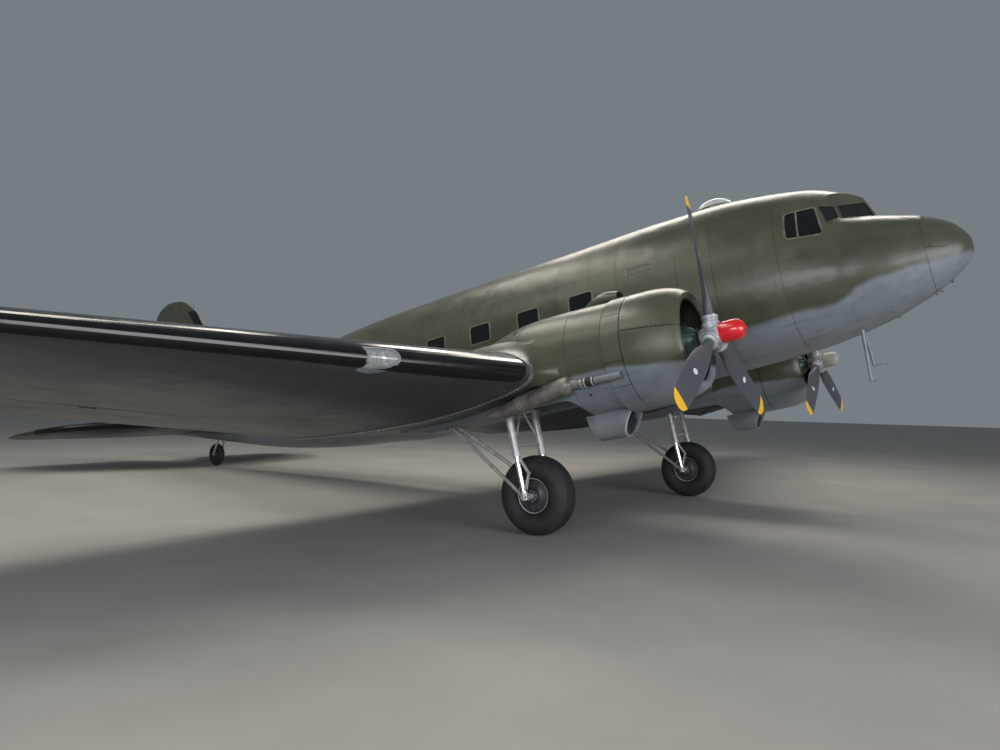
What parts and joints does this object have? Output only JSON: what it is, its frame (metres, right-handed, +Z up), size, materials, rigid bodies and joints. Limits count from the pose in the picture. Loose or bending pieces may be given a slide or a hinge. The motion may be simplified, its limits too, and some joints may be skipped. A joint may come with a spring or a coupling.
{
  "type": "military transport plane",
  "caption": "Low-wing military transport plane with radial engines, tail-wheel landing gear, hollow cabin and hinged doors, standing on its wheels.",
  "frame": {"origin": "centre of the bounding box at ground level, under the wheels", "axes": "+X to the port side, +Y aft, +Z up; the plane stands tail down on its three wheels"},
  "size_m": [29.11, 19.598, 5.0715],
  "materials": {
    "olive_paint": "weathered matt",
    "grey_paint": "weathered matt",
    "glazing": "clear",
    "interior_paint": "matt",
    "seat_trim": "worn",
    "black_panel": "matt",
    "engine_metal": "oily dark metal",
    "blade_paint": "satin",
    "exhaust_steel": "heat stained",
    "gear_steel": "satin silver paint",
    "tyre_rubber": "matt",
    "wheel_paint": "satin"
  },
  "bodies": {
    "airframe": {"nose_cap": "olive_paint", "flight_deck_shell": "olive_paint", "cabin_shell": "olive_paint", "tail_shell": "olive_paint", "cabin_glazing_right": "glazing", "cabin_glazing_left": "glazing", "flight_deck_glazing": "glazing", "astrodome": "glazing", "cabin_floor": "interior_paint", "flight_deck_bulkhead": "interior_paint", "instrument_panel": "black_panel", "pilot_seat_left": "seat_trim", "pilot_seat_right": "seat_trim", "wing_centre_section": "grey_paint", "outer_wing_right": "grey_paint", "outer_wing_left": "grey_paint", "landing_lamp_right": "glazing", "landing_lamp_left": "glazing", "nacelle_right": "olive_paint", "nacelle_left": "olive_paint", "cowling_right": "olive_paint", "cowling_left": "olive_paint", "engine_right": "engine_metal", "engine_left": "engine_metal", "exhaust_right": "exhaust_steel", "exhaust_left": "exhaust_steel", "oil_cooler_right": "grey_paint", "oil_cooler_left": "grey_paint", "main_gear_right": "gear_steel", "main_gear_left": "gear_steel", "fin": "olive_paint", "stabilizer": "grey_paint", "tail_gear_leg": "gear_steel"},
    "propeller_right": {"propeller_right": "blade_paint"},
    "main_wheel_right": {"main_tyre_right": "tyre_rubber", "main_wheel_right": "wheel_paint"},
    "aileron_right": {"aileron_right": "olive_paint"},
    "elevator_right": {"elevator_right": "olive_paint"},
    "flap_inner_right": {"flap_inner_right": "grey_paint"},
    "flap_outer_right": {"flap_outer_right": "grey_paint"},
    "propeller_left": {"propeller_left": "blade_paint"},
    "main_wheel_left": {"main_tyre_left": "tyre_rubber", "main_wheel_left": "wheel_paint"},
    "aileron_left": {"aileron_left": "olive_paint"},
    "elevator_left": {"elevator_left": "olive_paint"},
    "flap_inner_left": {"flap_inner_left": "grey_paint"},
    "flap_outer_left": {"flap_outer_left": "grey_paint"},
    "rudder": {"rudder": "olive_paint"},
    "crew_door": {"crew_door": "olive_paint"},
    "cargo_door_front": {"cargo_door_front": "olive_paint"},
    "cargo_door_rear": {"cargo_door_rear": "olive_paint"},
    "tail_fork": {"tail_fork": "gear_steel"},
    "tail_wheel": {"tail_tyre": "tyre_rubber", "tail_wheel": "wheel_paint"}
  },
  "joints": [
    {"name": "propeller_right_spin", "type": "hinge", "parent": "airframe", "child": "propeller_right", "pos_m": [-2.82, -7.28956, 2.6395], "axis": [0, -0.9794, 0.2018], "continuous": true},
    {"name": "main_wheel_right_spin", "type": "hinge", "parent": "airframe", "child": "main_wheel_right", "pos_m": [-2.82, -4.899, 0.54], "axis": [1, 0, 0], "continuous": true},
    {"name": "propeller_left_spin", "type": "hinge", "parent": "airframe", "child": "propeller_left", "pos_m": [2.82, -7.28956, 2.6395], "axis": [0, -0.9794, 0.2018], "continuous": true},
    {"name": "main_wheel_left_spin", "type": "hinge", "parent": "airframe", "child": "main_wheel_left", "pos_m": [2.82, -4.899, 0.54], "axis": [1, 0, 0], "continuous": true},
    {"name": "tail_wheel_swivel", "type": "hinge", "parent": "airframe", "child": "tail_fork", "pos_m": [0, 6.486, 0.6], "axis": [0, 0, 1], "continuous": true},
    {"name": "tail_wheel_spin", "type": "hinge", "parent": "tail_fork", "child": "tail_wheel", "pos_m": [0, 6.636, 0.28], "axis": [1, 0, 0], "continuous": true},
    {"name": "aileron_right_hinge", "type": "hinge", "parent": "airframe", "child": "aileron_right", "pos_m": [-9.8, -1.74335, 1.90371], "axis": [0.9936, -0.0832, -0.0762], "range_deg": [-20, 20]},
    {"name": "aileron_left_hinge", "type": "hinge", "parent": "airframe", "child": "aileron_left", "pos_m": [9.8, -1.74335, 1.90371], "axis": [0.9936, 0.0832, 0.0762], "range_deg": [-20, 20]},
    {"name": "elevator_right_hinge", "type": "hinge", "parent": "airframe", "child": "elevator_right", "pos_m": [-0.33, 7.92904, 0.85834], "axis": [1, 0, 0], "range_deg": [-20, 30]},
    {"name": "elevator_left_hinge", "type": "hinge", "parent": "airframe", "child": "elevator_left", "pos_m": [0.33, 7.92904, 0.85834], "axis": [1, 0, 0], "range_deg": [-20, 30]},
    {"name": "rudder_hinge", "type": "hinge", "parent": "airframe", "child": "rudder", "pos_m": [0, 8.20975, 1.92361], "axis": [0, 0.2018, 0.9794], "range_deg": [-30, 30]},
    {"name": "flap_inner_right_hinge", "type": "hinge", "parent": "airframe", "child": "flap_inner_right", "pos_m": [-1.33, -2.01985, 1.24974], "axis": [-1, 0, 0], "range_deg": [0, 45]},
    {"name": "flap_inner_left_hinge", "type": "hinge", "parent": "airframe", "child": "flap_inner_left", "pos_m": [1.33, -2.01985, 1.24974], "axis": [-1, 0, 0], "range_deg": [0, 45]},
    {"name": "flap_outer_right_hinge", "type": "hinge", "parent": "airframe", "child": "flap_outer_right", "pos_m": [-3.96, -2.01558, 1.25548], "axis": [-0.9932, 0.0703, 0.0929], "range_deg": [0, 45]},
    {"name": "flap_outer_left_hinge", "type": "hinge", "parent": "airframe", "child": "flap_outer_left", "pos_m": [3.96, -2.01558, 1.25548], "axis": [-0.9932, -0.0703, -0.0929], "range_deg": [0, 45]},
    {"name": "crew_door_hinge", "type": "hinge", "parent": "airframe", "child": "crew_door", "pos_m": [1.02, -7.03123, 3.53173], "axis": [0, 0.2018, 0.9794], "range_deg": [0, 90]},
    {"name": "cargo_door_front_hinge", "type": "hinge", "parent": "airframe", "child": "cargo_door_front", "pos_m": [1.218, 1.25733, 1.9264], "axis": [0, -0.2018, -0.9794], "range_deg": [0, 160]},
    {"name": "cargo_door_rear_hinge", "type": "hinge", "parent": "airframe", "child": "cargo_door_rear", "pos_m": [0.965, 3.36311, 1.49261], "axis": [0, 0.2018, 0.9794], "range_deg": [0, 160]}
  ],
  "couplings": [
    {"joint": "aileron_left_hinge", "follows": "aileron_right_hinge", "ratio": -1},
    {"joint": "elevator_left_hinge", "follows": "elevator_right_hinge", "ratio": 1},
    {"joint": "flap_inner_left_hinge", "follows": "flap_inner_right_hinge", "ratio": 1},
    {"joint": "flap_outer_right_hinge", "follows": "flap_inner_right_hinge", "ratio": 1},
    {"joint": "flap_outer_left_hinge", "follows": "flap_inner_right_hinge", "ratio": 1}
  ]
}
